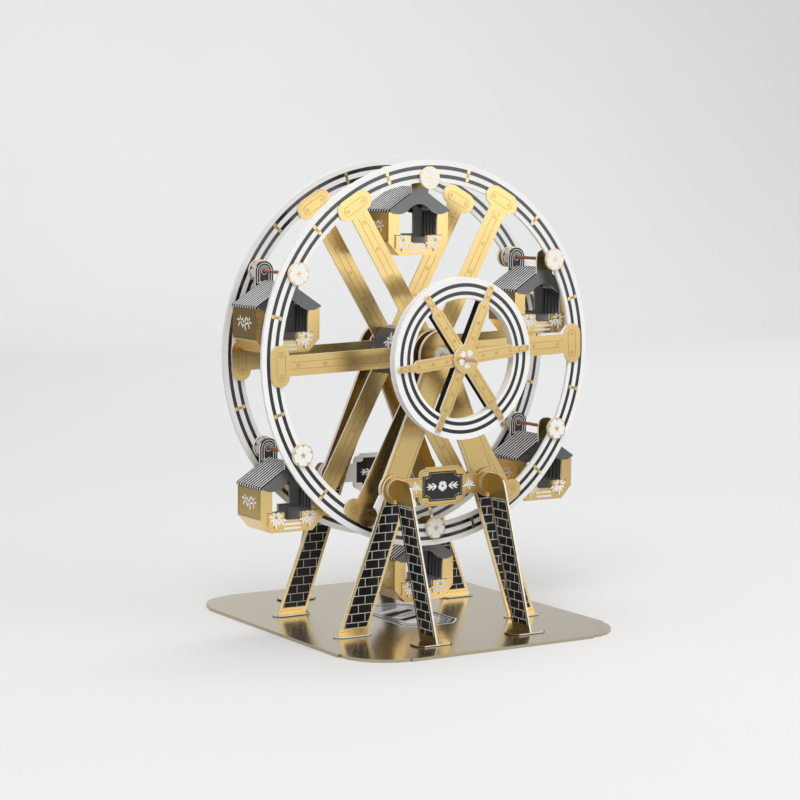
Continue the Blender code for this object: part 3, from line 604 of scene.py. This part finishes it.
print("drive wheel dressed")

frames = {"lineInset": 1.5, "lineWidth": 0.28, "headLine": 15.4, "face": 38.1}
for row in ("front", "back"):
    for tag, side in (("outer", row), ("inner", opposite[row])):
        line = sideOf(f"{row}_frame", side, frames["lineInset"], frames["lineWidth"])
        makePiece(f"{row}_frame_{tag}_line", line, brownInk, "stand")
        if tag == "outer":
            shape = bmesh.new()
            loop(shape, 0, layout["axleHeight"], frames["headLine"], frames["lineWidth"], 64)
            makePrint(f"{row}_frame_head_line", shape, [facing(side, frames["face"])], brownInk,
                      "stand", inStand)

signs = {
    "height": 93.7, "outerFace": 41.2, "innerFace": -39.9,
    "innerInset": 0.05, "innerProud": 0.03, "lineInset": 0.9, "lineWidth": 0.26,
    "plaque": (15.4, 9.6, 10.4, 7.0),   # half sizes: width and height overall, then at the notches
    "plaqueProud": 0.12, "printProud": 0.2, "fieldMargin": 1.6,
    "giltInset": 0.9, "giltWidth": 0.22, "rivets": (12.3, 5.6), "rivetRadius": 0.55,
    "rosette": 3.4, "sprayWidth": 1.05,
    "sprays": ((4.2, 0, 8.2), (4.6, 32, 4.4), (4.6, -32, 4.4), (7.6, 28, 4.2), (7.6, -28, 4.2)),
    "flowers": 20.6, "flowerRise": 0.2, "flowerSize": 3.6, "flowerTurn": 10,
    "leafTurns": (200, -20), "leafLength": 5.4, "leafWidth": 1.0,
}


# A plate whose corners are stepped in.
def plaquePoints(shrink=0.0):
    wide, high, neckWide, neckHigh = (size - shrink for size in signs["plaque"])
    corner = [(wide, neckHigh), (neckWide + 1.6, neckHigh), (neckWide + 0.5, neckHigh + 0.4),
              (neckWide, neckHigh + 1.2), (neckWide, high)]
    right = [(x, -y) for x, y in reversed(corner)] + corner
    return right + [(-x, -y) for x, y in right]


# A rosette between two sprays of leaves.
def plaqueOrnament(shape):
    rosettePetals(shape, signs["rosette"])
    for hand, turn in ((1, 0), (-1, 180)):
        for start, angle, length in signs["sprays"]:
            petal(shape, hand * start, 0, turn + angle, length, signs["sprayWidth"], taper=0.2)


for row in ("front", "back"):
    outer = [facing(row, signs["outerFace"], (0, signs["height"]))]
    inner = [facing(opposite[row], signs["innerFace"], (0, signs["height"]))]
    board = f"{row}_sign_board"
    makePiece(f"{row}_sign_inner_side",
              sideOf(board, opposite[row], signs["innerInset"], proud=signs["innerProud"]),
              whiteInk, "stand")
    makePiece(f"{row}_sign_line", sideOf(board, row, signs["lineInset"], signs["lineWidth"]),
              brownInk, "stand")
    shape = bmesh.new()
    area(shape, plaquePoints())
    makePrint(f"{row}_sign_plaque", shape, outer, black, "stand", inStand,
              signs["plaqueProud"])
    shape = bmesh.new()
    border(shape, plaquePoints(signs["giltInset"]), signs["giltWidth"])
    x, y = signs["rivets"]
    for rivet in ((-x, -y), (-x, y), (x, -y), (x, y)):
        dot(shape, *rivet, signs["rivetRadius"], 12)
    makePrint(f"{row}_sign_gilding", shape, outer, goldInk, "stand", inStand,
              signs["printProud"])
    shape = bmesh.new()
    plaqueOrnament(shape)
    for x in (-signs["flowers"], signs["flowers"]):
        edelweiss(shape, x, signs["flowerRise"], signs["flowerSize"], signs["flowerTurn"])
        for turn in signs["leafTurns"]:
            petal(shape, x, signs["flowerRise"], turn, signs["leafLength"], signs["leafWidth"])
    makePrint(f"{row}_sign_flowers", shape, outer, whiteInk, "stand", inStand,
              signs["printProud"])
    shape = bmesh.new()
    area(shape, plaquePoints(-signs["fieldMargin"]))
    makePrint(f"{row}_sign_inner_field", shape, inner, whiteInk, "stand", inStand)
    shape = bmesh.new()
    area(shape, plaquePoints())
    makePrint(f"{row}_sign_inner_plaque", shape, inner, blackInk, "stand", inStand,
              signs["plaqueProud"])
    shape = bmesh.new()
    plaqueOrnament(shape)
    makePrint(f"{row}_sign_inner_scroll", shape, inner, whiteInk, "stand", inStand,
              signs["printProud"])

legs = {
    "foot": (55.15, 76.45), "slopes": (0.3436, 0.383), "ground": 2.3,   # inner edge, outer edge
    "faces": {"outer": 39.6, "inner": -38.4}, "aslant": 1.07, "buttressTop": 86.15,
    "prints": (   # inset from the edges, from and to, height over the card, finish and slot
        ("gilding", 0.0, 3.0, 96.0, 0.03, goldSide, "gold_card"),
        ("joint", 1.5, 6.8, 94.0, 0.06, jointInk, "white_card"),
        ("bricks", 1.9, 7.2, 94.0, 0.09, bricksFront, "brick_card"),
    ),
    "buttressPrints": (   # inset from the edges, from, height over the card, finish and slot
        ("joint", 1.5, 5.7, 0.05, jointInk, "white_card"),
        ("bricks", 1.9, 5.3, 0.08, bricksSide, "brick_card"),
    ),
    "dots": [(58.2 + 1.55 * step, 5.0 + 0.5 * (step % 2)) for step in range(11)],
    "dotRadius": 0.34, "dotProud": 0.06,
}
padGold = (0.48, 0.41, 0.28)
nakedLeg = legFinish("bare white leg card", "Y", (0.83, 0.82, 0.80), 0.0, padGold)
# painted shade: the buttresses' gold foil is a darker bronze copy, standing in for the shade and
# dark reflections on their sides
shadedButtressCard = legFinish("buttress gold foil darkened by painted shade", "X", (0.32, 0.23, 0.095), 1.0, padGold)


# The printed part of a leg, which runs straight on under the knee; its bare shoulder stays out.
def legOutline(mirror, inset, low, high):
    inner, outer = [[x - slope * (z - legs["ground"]) for z in (low, high)]
                    for x, slope in zip(legs["foot"], legs["slopes"])]
    inset *= legs["aslant"]
    points = ((inner[0] + inset, low), (outer[0] - inset, low),
              (outer[1] - inset, high), (inner[1] + inset, high))
    return [(mirror * x, z) for x, z in points]


for row in ("front", "back"):
    for hand, sign in (("left", -1), ("right", 1)):
        node = f"{row}_{hand}_leg"
        nodes[node].data.materials[0] = nakedLeg
        for tag, side in (("outer", row), ("inner", opposite[row])):
            mirror = sign if side == "front" else -sign
            face = [facing(side, legs["faces"][tag])]
            for part, inset, low, high, proud, finish, slotName in legs["prints"]:
                shape = bmesh.new()
                area(shape, legOutline(mirror, inset, low, high))
                makePrint(f"{node}_{tag}_{part}", shape, face, finish, "stand", inStand,
                          proud)
            shape = bmesh.new()
            for x, z in legs["dots"]:
                dot(shape, mirror * x, z, legs["dotRadius"], 8)
            makePrint(f"{node}_{tag}_dots", shape, face, brownInk, "stand", inStand,
                      legs["dotProud"])
        node = f"{row}_{hand}_buttress"
        nodes[node].data.materials[0] = shadedButtressCard
        for side in ("left", "right"):
            for part, inset, low, proud, finish, slotName in legs["buttressPrints"]:
                shape = sideOf(node, side, inset, None, low, legs["buttressTop"], proud)
                makePiece(f"{node}_{side}_{part}", shape, finish, "stand")

base = {
    "top": 2.0, "panelY": 1.0,
    "panel": (22.0, 38.0, 9.5),   # half width, half length and cut corner
    "fieldInset": 0.8, "lines": 0.8, "lineProud": 0.08,
    "bands": ((0.9, 1.7), (5.2, 0.8)), "bandProud": 0.07,   # how far in, and how wide
    "whiteBars": (-18, -1, 16), "blackBars": (-9.5, 7.5), "barReach": (12.6, 5), "barWidth": 5.0,
}


def panelPoints(shrink):
    wide, long, cut = base["panel"]
    wide, long, cut = wide - shrink, long - shrink, cut - shrink * 0.4
    corner = [(wide, long - cut), (wide - cut, long)]
    upper = corner + [(-x, y) for x, y in reversed(corner)]
    return upper + [(-x, -y) for x, y in upper]


def slantedBars(shape, heights):
    across, rise = base["barReach"]
    for y in heights:
        bar(shape, -across, y - rise, across, y + rise, base["barWidth"])


floorPlace = [Matrix.Translation((0, base["panelY"], base["top"]))]
shape = bmesh.new()
area(shape, panelPoints(base["fieldInset"]))
makePrint("base_panel_field", shape, floorPlace, panelInk, "stand", inStand)
shape = bmesh.new()
border(shape, panelPoints(0), base["lines"])
slantedBars(shape, base["whiteBars"])
makePrint("base_panel_lines", shape, floorPlace, whiteInk, "stand", inStand,
          base["lineProud"])
shape = bmesh.new()
for inset, width in base["bands"]:
    border(shape, panelPoints(inset), width)
slantedBars(shape, base["blackBars"])
makePrint("base_panel_bands", shape, floorPlace, matteInk, "stand", inStand,
          base["bandProud"])
print("stand dressed")

# A gondola's pieces are drawn about the middle of its dowel.
cabin = {
    "halfWidth": 22.75, "halfDepth": 15.2, "card": 1.5, "bottom": -50.0, "seat": -39.0,
    "wallStripes": (7, 4, -38.8, -22.5, 1.5),   # how many, pitch, from and to, and width
    "seatStripes": [-11 + 4.4 * step for step in range(6)], "seatReach": (12.6, 21.2),
    "seatStripeWidth": 1.5, "sideLineWidth": 0.24,
    "sideLine": ((-13.2, -40.6), (13.2, -40.6), (13.2, -22.4), (-13.2, -22.4)),
}
roof = {
    "ridge": -5.6, "eave": -20.5, "halfWidth": 23.0, "earInner": 15.5, "earOuter": 16.8,
    "stripes": 10, "pitch": 3.15, "stripeWidth": 1.1, "stripeInset": 0.2, "tick": (-1.4, -0.1),
    "outlines": ((5.3, -7.6), (3.6, -7.0)), "outlineEye": 2.1, "outlineWidth": 0.45,
    "gilding": (6.3, -7.2),   # radius and foot
}
axle = {
    "radius": 1.1, "reach": 28.6, "rosette": 7.2, "thick": 2.0, "bevel": 0.12,
    "starts": (-28.6, 22.0, 26.6),   # where each rosette begins along the dowel
    "petals": (6.8, 0.18, 0.82), "eye": 0.75, "eyeWidth": 0.3, "eyeProud": 0.1,
}
ledges = {   # upward from the dowel, and outward from the cabin's front
    "boxAcross": (6.3, 17.7), "boxUp": (-45.6, -37.2), "boxOut": (0, 1.0),
    "sillUp": (-37.2, -36.75), "sillOut": (-1.4, 1.1),
    "railAcross": (-6.3, 6.3), "railUp": (-42.1, -41.5), "railOut": (-1.5, 0.5),
    "bars": (-44.9, -47.6), "barHalf": 6.2, "barWidth": 1.2, "barProud": 0.15,
}
boxFlowers = {
    "start": 0.9, "leafWidth": 1.25, "proud": 0.15, "eye": 0.75, "eyeWidth": 0.35, "eyeProud": 0.2,
    "flowers": (   # middle, turn, and the leaves' angles and lengths
        (12.2, -40.0, -90, ((0, 6.6), (24, 4.6), (-26, 5.0), (58, 3.9), (-62, 4.2), (100, 4.4),
                            (-104, 3.6), (142, 3.0), (-146, 2.9))),
        (8.3, -41.4, -110, ((0, 3.4), (50, 2.6), (-55, 2.8))),
    ),
}
sideFlowers = {
    "start": 0.6, "leafWidth": 1.1,
    "places": ((-5.2, -30.0, 20), (0.4, -31.6, 70), (5.4, -30.4, -10)),
    "leaves": ((0, 3.6), (75, 2.6), (150, 3.8), (215, 4.2), (290, 4.0)),
}


# 0 gold outside, 1 grey lining, 2 cut edge.
def cabinFinish(face):
    at, normal = face.calc_center_median(), face.normal
    x, y, z = abs(at.x), abs(at.y), at.z
    if abs(normal.y) > 0.9:
        return 0 if y > cabin["halfDepth"] - 0.1 else 1
    if y > cabin["halfDepth"] - cabin["card"] + 0.05:
        return 2
    if x > cabin["halfWidth"] - 0.1 or z < cabin["bottom"] + 0.1:
        return 0
    if normal.z > 0.3 and z > roof["eave"] - 4:
        return 2
    if z < cabin["bottom"] + 8.6 and normal.z < -0.2:
        return 0
    return 1


# 0 black, 1 charcoal on the outsides of the ears, 2 cut edge.
def roofFinish(face):
    at, normal = face.calc_center_median(), face.normal
    if abs(normal.y) > 0.9:
        return 1 if abs(at.y) > roof["earOuter"] - 0.1 else 0
    if abs(normal.x) < 0.9 and abs(at.y) < roof["earInner"]:
        return 0
    if abs(normal.x) > 0.2 and normal.z > 0.5 and abs(at.x) < roof["halfWidth"]:
        return 0
    return 0 if abs(normal.x) > 0.9 and abs(at.x) > roof["halfWidth"] - 0.5 else 2


def dressed(node, place, choose):
    shape = merged(node)
    bmesh.ops.transform(shape, matrix=place.inverted(), verts=shape.verts)
    shape.normal_update()
    for face in shape.faces:
        face.material_index = choose(face)
    return shape


# The dowel and its rosettes, spun about the dowel's line. 0 gold, 1 cut edge, 2 wood.
def axleShape():
    shape = bmesh.new()
    bevel, starts = axle["bevel"], axle["starts"]
    profile = [(0, -axle["reach"])]
    for start in starts:
        end = start + axle["thick"]
        if start != starts[0]:
            profile.append((axle["radius"], start))
        profile += [(axle["rosette"] - bevel, start), (axle["rosette"], start + bevel),
                    (axle["rosette"], end - bevel), (axle["rosette"] - bevel, end)]
        if start != starts[-1]:
            profile.append((axle["radius"], end))
    profile.append((0, axle["reach"]))
    verts = [shape.verts.new((radius, y, 0)) for radius, y in profile]
    lines = [shape.edges.new(pair) for pair in zip(verts, verts[1:])]
    bmesh.ops.spin(shape, geom=verts + lines, cent=(0, 0, 0), axis=(0, 1, 0), angle=math.tau,
                   steps=40, use_merge=True)
    bmesh.ops.remove_doubles(shape, verts=shape.verts, dist=0.001)
    bmesh.ops.recalc_face_normals(shape, faces=shape.faces)
    for face in shape.faces:
        at = face.calc_center_median()
        off = math.hypot(at.x, at.z)
        if abs(face.normal.y) > 0.9 and off > axle["radius"]:
            face.material_index = 0
        else:
            face.material_index = 1 if off > axle["rosette"] - 0.3 else 2
    return shape


# Stripes down both slopes of the roof.
def gableStripes():
    shape = bmesh.new()
    drop = roof["ridge"] - roof["eave"]
    length, slope = math.hypot(roof["halfWidth"], drop), math.atan2(drop, roof["halfWidth"])
    stripes(shape, roof["stripes"], roof["pitch"], roof["stripeInset"],
            length - roof["stripeInset"], roof["stripeWidth"])
    places = []
    for hand in (-1, 1):
        down = Vector((hand * math.cos(slope), 0, -math.sin(slope)))
        normal = Vector((hand * math.sin(slope), 0, math.cos(slope)))
        turn = Matrix((down.cross(normal), down, normal)).transposed().to_4x4()
        turn.translation = (0, 0, roof["ridge"])
        places.append(turn)
    return stamped(raised(shape), places)


def earOutline(radius, foot):
    return arcPoints(0, 0, radius, 0, 180, 14) + [(-radius, foot), (radius, foot)]


# A small block of card, between two ends each way.
def ledge(shape, across, upward, outward):
    ranges = (across, outward, upward)
    middle = Matrix.Translation([(ends[0] + ends[1]) / 2 for ends in ranges])
    size = Matrix.Diagonal((*(abs(ends[1] - ends[0]) for ends in ranges), 1))
    bmesh.ops.create_cube(shape, size=1, matrix=middle @ size)


# Window boxes, and the dark sills and rails, on both fronts.
def cabinLedges():
    boxes, dark = bmesh.new(), bmesh.new()
    for sign in (-1, 1):
        boxOut, sillOut, railOut = (
            [sign * (cabin["halfDepth"] + step) for step in ledges[key]]
            for key in ("boxOut", "sillOut", "railOut"))
        for hand in (-1, 1):
            across = [hand * x for x in ledges["boxAcross"]]
            ledge(boxes, across, ledges["boxUp"], boxOut)
            ledge(dark, across, ledges["sillUp"], sillOut)
        ledge(dark, ledges["railAcross"], ledges["railUp"], railOut)
    return boxes, dark


# Two white bars under the rail, and the leaves on the boxes.
def cabinFlowers():
    flat = bmesh.new()
    for y in ledges["bars"]:
        bar(flat, -ledges["barHalf"], y, ledges["barHalf"], y, ledges["barWidth"])
    whole = stamped(raised(flat, ledges["barProud"]), bothFronts(cabin["halfDepth"]))
    flat = bmesh.new()
    for hand in (-1, 1):
        for x, y, turn, leaves in boxFlowers["flowers"]:
            for angle, length in leaves:
                petal(flat, hand * x, y, -90 + hand * (turn + angle + 90), length,
                      boxFlowers["leafWidth"], boxFlowers["start"], taper=0.2)
    return stamped(raised(flat, boxFlowers["proud"]), boxFronts, whole)


boxFronts = bothFronts(cabin["halfDepth"] + ledges["boxOut"][1])
axleEnds = bothFronts(axle["reach"])
cabinSides = bothSides(cabin["halfWidth"])
for number, turn in enumerate(layout["armTurns"], 1):
    name, place = f"gondola_{number}", atPivot(turn)

    piece = makePiece(f"{name}_cabin_card", dressed(f"{name}_cabin", place, cabinFinish),
                      [goldSide, lining, cutEdge], name, place)
    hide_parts(f"{name}_cabin")
    piece = makePiece(f"{name}_roof_card", dressed(f"{name}_roof", place, roofFinish),
                      [black, charcoal, cutEdge], name, place)
    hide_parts(f"{name}_roof")
    piece = makePiece(f"{name}_axle_turned", axleShape(), [goldSide, cutEdge, redWood], name,
                      place)
    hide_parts(f"{name}_axle")
    makePiece(f"{name}_roof_stripes", gableStripes(), whiteInk, name, place)

    # rosettes: petals on both ends and behind the front rim, and a gilt eye on both ends
    shape = bmesh.new()
    rosettePetals(shape, *axle["petals"])
    makePrint(f"{name}_rosette_petals", shape, axleEnds + [facing("front", -axle["starts"][1])],
              whiteInk, name, place)
    shape = bmesh.new()
    loop(shape, 0, 0, axle["eye"], axle["eyeWidth"], 16)
    makePrint(f"{name}_rosette_eyes", shape, axleEnds, goldInk, name, place,
              axle["eyeProud"])

    # the ends of the roof: outlines inside, gilt ears outside
    shape = bmesh.new()
    for radius, foot in roof["outlines"]:
        border(shape, earOutline(radius, foot), roof["outlineWidth"])
    loop(shape, 0, 0, roof["outlineEye"], roof["outlineWidth"], 24)
    makePrint(f"{name}_ear_outlines", shape, bothFronts(-roof["earInner"]), whiteInk, name,
              place)
    shape = bmesh.new()
    area(shape, earOutline(*roof["gilding"]))
    makePrint(f"{name}_ear_gilding", shape, bothFronts(roof["earOuter"]), bronzeEar, name,
              place)

    # fronts
    boxes, dark = cabinLedges()
    makePiece(f"{name}_window_boxes", boxes, goldSide, name, place)
    makePiece(f"{name}_rails", dark, charcoal, name, place)
    makePiece(f"{name}_flowers", cabinFlowers(), whiteInk, name, place)
    shape = bmesh.new()
    x, y = boxFlowers["flowers"][0][:2]
    for hand in (-1, 1):
        loop(shape, hand * x, y, boxFlowers["eye"], boxFlowers["eyeWidth"], 12)
    makePrint(f"{name}_flower_eyes", shape, boxFronts, brownInk, name, place,
              boxFlowers["eyeProud"])

    # sides: three flowers, a thin frame line, and the stripes' ends on the eaves
    shape = bmesh.new()
    for x, y, turned in sideFlowers["places"]:
        for angle, length in sideFlowers["leaves"]:
            petal(shape, x, y, turned + angle, length, sideFlowers["leafWidth"],
                  sideFlowers["start"], taper=0.2)
    makePrint(f"{name}_side_flowers", shape, cabinSides, whiteInk, name, place)
    shape = bmesh.new()
    border(shape, cabin["sideLine"], cabin["sideLineWidth"])
    makePrint(f"{name}_side_lines", shape, cabinSides, brownInk, name, place)
    shape = bmesh.new()
    low, high = (roof["eave"] + step for step in roof["tick"])
    stripes(shape, roof["stripes"], roof["pitch"], low, high, roof["stripeWidth"])
    makePrint(f"{name}_eave_ticks", shape, bothSides(roof["halfWidth"]), whiteInk, name,
              place)

    # inside: stripes on the walls and the seats
    shape = bmesh.new()
    stripes(shape, *cabin["wallStripes"])
    makePrint(f"{name}_wall_stripes", shape, bothSides(cabin["card"] - cabin["halfWidth"]), darkInk,
              name, place)
    shape = bmesh.new()
    near, far = cabin["seatReach"]
    for hand in (-1, 1):
        for y in cabin["seatStripes"]:
            bar(shape, hand * near, y, hand * far, y, cabin["seatStripeWidth"])
    makePrint(f"{name}_seat_stripes", shape, [Matrix.Translation((0, 0, cabin["seat"]))], whiteInk,
              name, place)
print("gondolas dressed")

studio = {
    "floorHalfWidth": 3.2, "floorFront": -3.0, "floorBack": 1.9, "bend": 1.1, "top": 3.6,
    "world": (0.99, 0.995, 1.0), "worldStrength": 0.62,
    "paper": (0.735, 0.735, 0.735), "paperRoughness": 0.9,
    # painted shade on the paper: a darker floor before the backdrop, and dark zones beside the
    # picture; a direction over the floor, from, to, a tone
    "paintedShade": (((-0.538, -0.843), -2.2, -0.6, 0.65), ((-0.538, -0.843), 0.47, 1.2, 0.26),
               ((0.735, -0.678), 0.265, 0.55, 0.27), ((-0.925, 0.381), 0.28, 0.65, 0.14)),
    "lights": (   # name, place, aim, size, watts
        ("key", (-1.2, -1.4, 2.3), (0, 0, 0.15), 1.6, 38),
        ("panel", (1.45, -2.2, 1.25), (0, 0, 0.2), 2.5, 20),
        ("top", (0.2, 0.4, 2.5), (0, 0, 0.15), 1.7, 16),
        ("backdrop", (1.4, 0.9, 3.0), (1.9, 2.9, 0.6), 1.6, 30),
    ),
}
shape = bmesh.new()
profile = [(studio["floorFront"], 0.0), (studio["floorBack"], 0.0)]
profile += [(studio["floorBack"] + studio["bend"] * math.sin(math.radians(turn)),
             studio["bend"] * (1 - math.cos(math.radians(turn)))) for turn in range(6, 91, 6)]
profile.append((studio["floorBack"] + studio["bend"], studio["top"]))
verts = [shape.verts.new((-studio["floorHalfWidth"], y, z)) for y, z in profile]
lines = [shape.edges.new(pair) for pair in zip(verts, verts[1:])]
grown = bmesh.ops.extrude_edge_only(shape, edges=lines)
bmesh.ops.translate(shape, verts=vertsOf(grown), vec=(2 * studio["floorHalfWidth"], 0, 0))
bmesh.ops.recalc_face_normals(shape, faces=shape.faces)
mesh = bpy.data.meshes.new("studio_sweep")
shape.to_mesh(mesh)
shape.free()
mesh.shade_smooth()
paper, tree = newFinish("pale studio paper")
tone = mottled(tree, studio["paper"], 3, 0.008)
coords = newNode(tree, "TexCoord")["Object"]
# painted shade: the paper's tone is darkened in zones, so that the gold reflects darker surroundings
for towards, start, end, dark in studio["paintedShade"]:
    along = newNode(tree, "VectorMath", {0: coords, 1: (*towards, 0)}, operation="DOT_PRODUCT")
    fall = newNode(tree, "MapRange", {"Value": along["Value"], "From Min": start, "From Max": end},
                   interpolation_type="SMOOTHSTEP")
    tone = blended(tree, fall["Result"], tone, (dark, dark, dark))
setShader(tree, {"Base Color": tone, "Roughness": studio["paperRoughness"]})
mesh.materials.append(paper)
sweep = bpy.data.objects.new("studio_sweep", mesh)
bpy.context.scene.collection.objects.link(sweep)

world = bpy.data.worlds.new("soft studio")
world.use_nodes = True
background = world.node_tree.nodes["Background"].inputs
background["Color"].default_value = (*studio["world"], 1)
background["Strength"].default_value = studio["worldStrength"]
bpy.context.scene.world = world
for name, place, aim, size, watts in studio["lights"]:
    light = bpy.data.lights.new(name, "AREA")
    light.shape, light.size, light.energy = "DISK", size, watts
    lamp = bpy.data.objects.new(name, light)
    lamp.location = place
    lamp.rotation_euler = (Vector(aim) - Vector(place)).to_track_quat("-Z", "Y").to_euler()
    bpy.context.scene.collection.objects.link(lamp)
print("studio lit")

view = {
    "place": (-787.96, -1226.47, 295.87), "azimuth": -32.556, "elevation": 5.901, "roll": 0.591,
    "focalPixels": 2225.25, "imagePixels": 800, "sensor": 36,
}
azimuth, elevation, roll = (math.radians(view[key]) for key in ("azimuth", "elevation", "roll"))
forward = Vector((-math.sin(azimuth) * math.cos(elevation), math.cos(azimuth) * math.cos(elevation),
                  -math.sin(elevation)))
right = Vector((math.cos(azimuth), math.sin(azimuth), 0))
upward = right.cross(forward)
rolledRight = right * math.cos(roll) + upward * math.sin(roll)
rolledUp = upward * math.cos(roll) - right * math.sin(roll)
lens = bpy.data.cameras.new("photo view")
lens.sensor_width = view["sensor"]
lens.lens = view["focalPixels"] / view["imagePixels"] * lens.sensor_width
lens.clip_start, lens.clip_end = 0.01, 30
camera = bpy.data.objects.new("photo view", lens)
camera.matrix_world = Matrix((rolledRight, rolledUp, -forward)).transposed().to_4x4()
camera.location = Vector(view["place"]) * millimetre
bpy.context.scene.collection.objects.link(camera)
bpy.context.scene.camera = camera
bpy.context.scene.view_settings.view_transform = "Standard"

print("scene ready")
